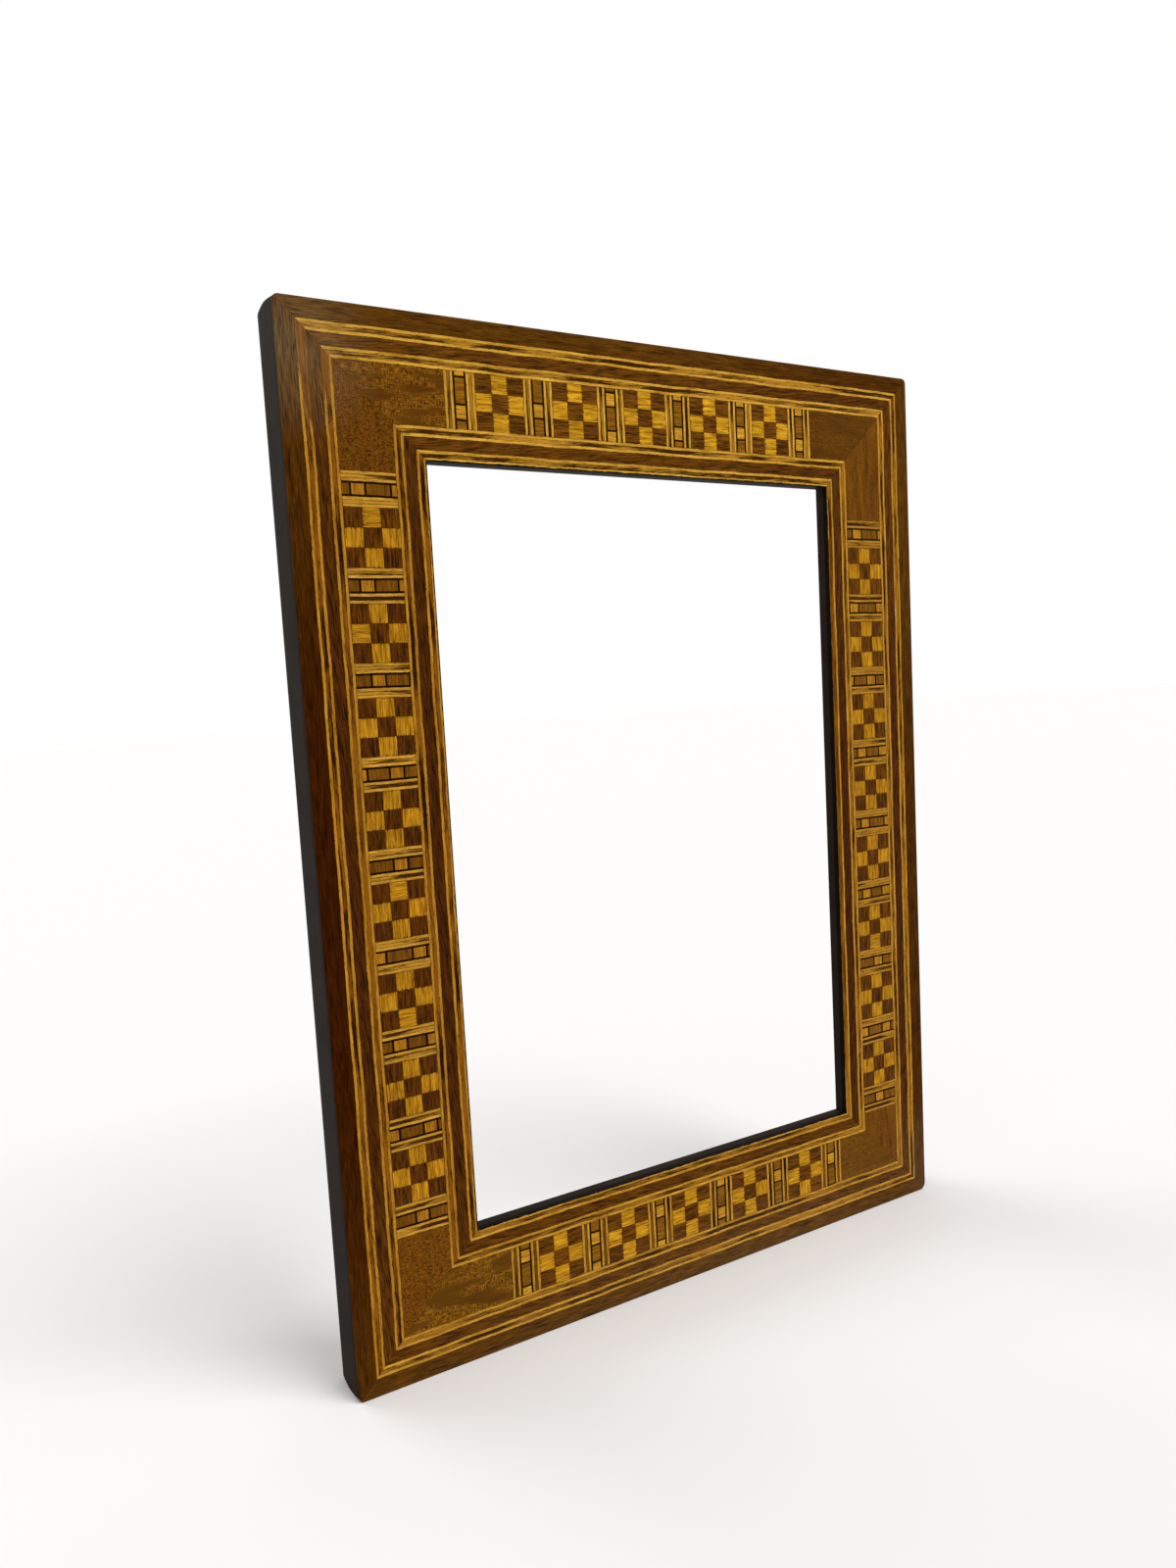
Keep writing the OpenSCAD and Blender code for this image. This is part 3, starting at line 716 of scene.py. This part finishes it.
def metal(name, rough):
    """Rolled or drawn brass with a dull brown film in patches and fine handling scratches."""
    colours = bpy.context.scene.inlay_colours
    material, shader, node = blank(name)
    where = node("TexCoord", out="Object")
    film = node("TexNoise", where, FILM, 6)
    film = node("MapRange", film, *RAMPS["tarnish"])
    tint = node("Mix", film, colours.brass, colours.tarnish, data_type="RGBA")
    gloss = node("MapRange", film, 0, 1, rough, rough + FILM_ROUGH)
    scratch = node("VectorMath", where, SCRATCHES, operation="MULTIPLY")
    scratch = node("TexNoise", scratch, 1, 3)
    bump = node("Bump", *SCRATCH_BUMP, scratch)
    feed(shader, {"Base Color": tint, "Metallic": 1, "Roughness": gloss, "Normal": bump})
    return material


def dress(node, material):
    mesh = frame["nodes"][node].data
    mesh.materials.clear()
    mesh.materials.append(material)


# ---- operators ----


class INLAY_OT_stage(bpy.types.Operator):
    """Make the pale floor, the soft studio light and the camera"""

    bl_idname = "inlay.stage"
    bl_label = "Stage"

    def execute(self, context):
        scene = context.scene
        # Matt painted board: no gloss, so that only the shadow shows on it
        material, shader, node = blank("matt_pale_floor")
        feed(shader, {"Base Color": scene.inlay_colours.floor, "Roughness": 0.9,
                      "Specular IOR Level": 0.1})
        # A flat disc: x and y are the radius times the cosine and sine of the turn
        turn = np.linspace(0, 2 * math.pi, FLOOR_SIDES + 1)[:-1]
        ring = np.stack([FLOOR_RADIUS * np.cos(turn), FLOOR_RADIUS * np.sin(turn), 0 * turn], -1)
        mesh = bpy.data.meshes.new("pale_floor")
        mesh.from_pydata(ring.tolist(), [], [list(range(len(ring)))])
        mesh.materials.append(material)
        floor = bpy.data.objects.new("pale_floor", mesh)
        scene.collection.objects.link(floor)

        # The world is plain white where it is seen or mirrored, and dimmer as a light
        scene.world = bpy.data.worlds.new("soft_studio")
        scene.world.use_nodes = True
        tree = scene.world.node_tree
        node = partial(add, tree)
        ray = node("LightPath").node.outputs
        seen = ray["Is Camera Ray"]
        for other in ("Is Glossy Ray", "Is Transmission Ray"):
            seen = node("Math", seen, ray[other], operation="MAXIMUM")
        strength = node("MapRange", seen, 0, 1, WORLD, 1)
        feed(tree.nodes["Background"], {"Color": (1, 1, 1), "Strength": strength})

        for name, place, width, share in LAMPS:
            light = bpy.data.lights.new(name, "SUN")
            light.angle = math.radians(width)
            light.energy = share * math.pi
            lamp = bpy.data.objects.new(name, light)
            lamp.matrix_world = Matrix.Translation(place) @ (
                -Vector(place)).to_track_quat("-Z", "Y").to_matrix().to_4x4()
            scene.collection.objects.link(lamp)

        data = bpy.data.cameras.new("camera")
        data.sensor_width = SENSOR
        data.lens = LENS
        data.shift_x = (PHOTO[0] / 2 - CENTRE[0]) / PHOTO[1]
        data.shift_y = (CENTRE[1] - PHOTO[1] / 2) / PHOTO[1]
        data.clip_start = 0.01
        camera = bpy.data.objects.new("camera", data)
        ahead, up = Vector(AHEAD).normalized(), Vector(UP)
        up = (up - ahead * up.dot(ahead)).normalized()
        turned = Matrix((ahead.cross(up), up, -ahead)).transposed().to_4x4()
        camera.matrix_world = Matrix.Translation(VIEW_FROM) @ turned
        scene.collection.objects.link(camera)
        scene.camera = camera
        scene.view_settings.view_transform = "Standard"
        return {"FINISHED"}


class INLAY_OT_rails(bpy.types.Operator):
    """Make the four mitred rails, painted black outside and along the sight edge"""

    bl_idname = "inlay.rails"
    bl_label = "Rails"

    def execute(self, context):
        # Pine, planed and left bare behind: even straight streaks, darkened by age
        material = wood("planed_pine_painted_black", "back", 2.2, 0.4, 0.8, wander=0.05,
                        rough=0.7, torn="back_deep", varnish=None)
        paint_over(material, RAIL_REACH)
        soft = context.scene.inlay_sizes.back_edge
        bend = np.linspace(0, math.pi / 2, 6)
        # The back row runs up the outer side, round its back edge, over the back, down the
        # rebate's wall and over the lip. The front row lies under it on the ground, with its
        # points in the same order, so that the faces which close the ends stay inside the
        # profile.
        rise = np.linspace(GROUND, BACK - soft, 9)[1:-1]
        v = np.concatenate([0 * rise, soft - soft * np.cos(bend), [BACK_FLAT, BACK_FLAT],
                            MOULDING - LIP_EDGE + LIP_EDGE * np.sin(bend)])
        y = np.concatenate([rise, BACK - soft + soft * np.sin(bend), [BACK, SEAT],
                            SEAT - LIP_EDGE + LIP_EDGE * np.cos(bend)])
        outer = len(rise) + len(bend)
        under = np.concatenate([np.linspace(0, BACK_FLAT * 0.9, outer),
                                [BACK_FLAT - LIP_EDGE / 4], v[outer + 1 :]])
        v = np.concatenate([v, under[::-1]])
        y = np.concatenate([y, np.full_like(under, GROUND)])
        # The paint ends on the outer back edge and on the lip's back edge
        sight = np.where(v > MOULDING - LIP_EDGE / 2, SEAT - y, v - MOULDING)
        paint = np.where(v < soft * 0.9, BACK - soft / 2 - y, -v)
        paint = np.where(v > BACK_FLAT, sight, paint)
        for side in SIDES:
            node = f"{side}_rail" if side in LEVEL else f"{side}_stile"
            moulded(side, f"painted_{node}", v, y, paint, 12 * MM, node, material)
        return {"FINISHED"}


class INLAY_OT_borders(bpy.types.Operator):
    """Make the four walnut borders with a hand-rubbed outer arris"""

    bl_idname = "inlay.borders"
    bl_label = "Borders"

    def execute(self, context):
        sizes = context.scene.inlay_sizes
        # Walnut, sliced along the grain: straight fine fibres with dark open pores
        material = wood("quarter_sawn_walnut_border", "border", 1.6, 0.35, 0.8, tone=0.04,
                        fleck=0.25, dash=0.1, wander=0.15, bite=0.3, seam=0.7,
                        varnish="dark_varnish")
        paint_over(material, sizes.outer_reach)
        # The profile runs outwards over the front, round the arris and down the outer side
        bend = np.linspace(0, math.pi / 2, 7)
        v = np.concatenate([[BORDER, BORDER * 0.7, BORDER * 0.4],
                            sizes.arris * (1 - np.sin(bend)), [0, BORDER]])
        y = np.concatenate([[FRONT] * 3, FRONT + sizes.arris * (1 - np.cos(bend)),
                            [GROUND, GROUND]])
        for side in SIDES:
            moulded(side, f"{side}_walnut_border", v, y, y - FRONT - v - sizes.bare_edge,
                    2.5 * MM, f"{side}_border", material)
        return {"FINISHED"}


class INLAY_OT_strips(bpy.types.Operator):
    """Make the walnut strips on both sides of the panels"""

    bl_idname = "inlay.strips"
    bl_label = "Walnut strips"

    def execute(self, context):
        # Walnut, sliced at a slant: broad dark and pale streaks
        material = wood("slanting_walnut_strip", "strip", 1.3, 0.35, 1.1, tone=0.08, fleck=0.2,
                        dash=0.35, wander=0.25, slant=0.09, varnish="dark_varnish")
        for side in SIDES:
            for place in ("outer", "inner"):
                veneers(f"{side}_{place}_strip", f"{side}_{place}_walnut_strip", material,
                        "strip", 1.6 * MM)
        return {"FINISHED"}


class INLAY_OT_bandings(bpy.types.Operator):
    """Make the light lines of the bandings and the cores between them"""

    bl_idname = "inlay.bandings"
    bl_label = "Bandings"

    def execute(self, context):
        # Boxwood, sawn thin: pale and close, with short darker fibres
        line = wood("sawn_boxwood_banding_line", "line", 0.9, 0.35, 0.8, fleck=0.08, dash=0.2,
                    nibble=0.3, seam=0.75, wander=0.2, slant=0.04, drift=0.3, stain=True)
        # Painted highlight specks go on the paint's broken edge along the bottom of the opening
        paint_over(line, context.scene.inlay_sizes.sight_reach, glint=True)
        # Maple, sawn thin and stained in places: short brown dashes
        core = wood("stained_maple_core", "core", 0.7, 0.35, 1.2, tone=0.08, fleck=0.1,
                    dash=0.35, seam=0.4, wander=0.2, slant=0.04, drift=1.0, stain=True)
        for side in SIDES:
            veneers(f"{side}_banding_lines", f"{side}_boxwood_lines", line,
                    "banding line", 1.4 * MM, painted=True)
            veneers(f"{side}_banding_cores", f"{side}_banding_core", core,
                    "banding core", 1.4 * MM, painted=True)
        return {"FINISHED"}


class INLAY_OT_corner_veneers(bpy.types.Operator):
    """Make the figured veneers in the corners of the panels"""

    bl_idname = "inlay.corner_veneers"
    bl_label = "Corner veneers"

    def execute(self, context):
        # Figured walnut: fine crossed lines under soft dark clouds on the top and the bottom,
        # and small soft curls on the left and the right
        crossed = wood("cross_fire_walnut_veneer", "figured", 3, 0.4, 1.0, tone=0.1,
                       figure=crossed_figure)
        curly = wood("curly_walnut_veneer", "figured", 3, 0.35, 0.9, tone=0.1,
                     figure=dimpled_figure)
        for side in SIDES:
            material = crossed if side in LEVEL else curly
            veneers(f"{side}_corner_veneers", f"{side}_figured_veneers", material,
                    "corner", 2.2 * MM)
        return {"FINISHED"}


class INLAY_OT_chequers(bpy.types.Operator):
    """Make the dark and light tiles of the chequer blocks"""

    bl_idname = "inlay.chequers"
    bl_label = "Chequer tiles"

    def execute(self, context):
        # Walnut, sawn across a curl: dark, with short paler flecks and ripples
        dark = wood("walnut_chequer_tile", "dark", 1.2, 0.35, 1.3, tone=0.12, fleck=0.3,
                    curl=0.5, seam=0.4, varnish="dark_varnish")
        # Maple, sawn and torn by the saw: bright, with fine brown splits and ragged dark ends
        light = wood("maple_chequer_tile", "light", 1.2, 0.38, 1.15, tone=0.1, fleck=0.2,
                     dash=0.22, bite=1.0, nibble=0.15, seam=0.75)
        for side in SIDES:
            veneers(f"{side}_dark_tiles", f"{side}_walnut_tiles", dark,
                    "dark tile")
            veneers(f"{side}_light_tiles", f"{side}_maple_tiles", light,
                    "light tile", turned=0.15)
        return {"FINISHED"}


class INLAY_OT_dividers(bpy.types.Operator):
    """Make the lines, cores and black stringing of the dividers"""

    bl_idname = "inlay.dividers"
    bl_label = "Dividers"

    def execute(self, context):
        # Boxwood, cut short: each line is a little lighter or darker than the next
        line = wood("sawn_boxwood_divider_line", "line", 0.7, 0.3, 0.9, tone=0.16, fleck=0.1,
                    dash=0.2, nibble=0.25, bite=0.5, seam=0.75)
        # Maple, stained and cut short: brown, with a tone that changes along the line
        core = wood("stained_maple_divider_core", "core", 0.6, 0.3, 1.2, tone=0.16, fleck=0.1,
                    dash=0.45, nibble=0.2, seam=0.6, drift=1.8, varnish="core_varnish")
        # Pear, dyed black through: almost no grain left
        black = wood("black_dyed_pear_stringing", "stringing", 1, 0.3, 0.6,
                     torn="stringing_pale", varnish="dark_varnish")
        for side in SIDES:
            veneers(f"{side}_divider_lines", f"{side}_divider_boxwood_lines", line,
                    "divider line", along=False)
            veneers(f"{side}_divider_cores", f"{side}_divider_maple_cores", core,
                    "divider core", along=False)
            veneers(f"{side}_black_stringing", f"{side}_dyed_stringing", black,
                    "border", along=False)
        return {"FINISHED"}


class INLAY_OT_ladders(bpy.types.Operator):
    """Make the brown and light blocks of the ladders"""

    bl_idname = "inlay.ladders"
    bl_label = "Ladder blocks"

    def execute(self, context):
        # Elm, sliced: an even warm brown with open pores
        brown = wood("elm_ladder_block", "ladder_brown", 1.2, 0.4, 1.0, tone=0.12, fleck=0.2,
                     dash=0.1)
        # Maple, sliced: duller than the tiles, with short darker dashes
        light = wood("maple_ladder_block", "ladder_light", 1.2, 0.35, 1.1, tone=0.1, fleck=0.25,
                     dash=0.25)
        veneers("ladder_brown_blocks", "elm_ladder_blocks", brown,
                "brown block")
        veneers("ladder_light_blocks", "maple_ladder_blocks", light,
                "light block")
        return {"FINISHED"}


class INLAY_OT_hangers(bpy.types.Operator):
    """Finish the brass straps, screws and rings behind"""

    bl_idname = "inlay.hangers"
    bl_label = "Hangers"

    def execute(self, context):
        # Brass, rolled, turned or drawn: dull gold, smoothest on the drawn wire
        for name, rough, nodes in (
                ("rolled_brass_strap", 0.36, ("left_hanger_strap", "right_hanger_strap")),
                ("turned_brass_screw", 0.32, ("hanger_screws",)),
                ("drawn_brass_ring", 0.28, ("left_ring", "right_ring"))):
            material = metal(name, rough)
            for node in nodes:
                dress(node, material)
        return {"FINISHED"}


class INLAY_OT_mitre_keys(bpy.types.Operator):
    """Finish the hidden keys across the mitres"""

    bl_idname = "inlay.mitre_keys"
    bl_label = "Mitre keys"

    def execute(self, context):
        colours = context.scene.inlay_colours
        # Beech, sawn and left bare: pale, with short darker flecks along the grain
        material, shader, node = blank("sawn_beech_key")
        where = node("TexCoord", out="Object")
        flecks = node("VectorMath", where, FLECKS, operation="MULTIPLY")
        flecks = node("TexNoise", flecks, 3, 3)
        tint = node("Mix", flecks, colours.key_deep, colours.key_pale, data_type="RGBA")
        feed(shader, {"Base Color": tint, "Roughness": 0.7})
        dress("mitre_keys", material)
        return {"FINISHED"}


OPERATORS = (
    INLAY_OT_stage,
    INLAY_OT_rails,
    INLAY_OT_borders,
    INLAY_OT_strips,
    INLAY_OT_bandings,
    INLAY_OT_corner_veneers,
    INLAY_OT_chequers,
    INLAY_OT_dividers,
    INLAY_OT_ladders,
    INLAY_OT_hangers,
    INLAY_OT_mitre_keys,
)


class INLAY_PT_panel(bpy.types.Panel):
    """Sizes, colours and pieces of the inlaid frame"""

    bl_label = "Inlaid frame"
    bl_idname = "INLAY_PT_panel"
    bl_space_type = "VIEW_3D"
    bl_region_type = "UI"
    bl_category = "Inlaid frame"

    def draw(self, context):
        for group in (context.scene.inlay_sizes, context.scene.inlay_colours):
            box = self.layout.box()
            for name in group.__annotations__:
                box.prop(group, name)
        for operator in OPERATORS:
            self.layout.operator(operator.bl_idname)


CLASSES = (InlaidFrameSizes, InlaidFrameColours, *OPERATORS, INLAY_PT_panel)


def register():
    for one in CLASSES:
        bpy.utils.register_class(one)
    bpy.types.Scene.inlay_sizes = bpy.props.PointerProperty(type=InlaidFrameSizes)
    bpy.types.Scene.inlay_colours = bpy.props.PointerProperty(type=InlaidFrameColours)


def unregister():
    del bpy.types.Scene.inlay_colours
    del bpy.types.Scene.inlay_sizes
    for one in reversed(CLASSES):
        bpy.utils.unregister_class(one)


def main():
    register()
    for operator in OPERATORS:
        group, name = operator.bl_idname.split(".")
        getattr(getattr(bpy.ops, group), name)()


if __name__ == "__main__":
    main()
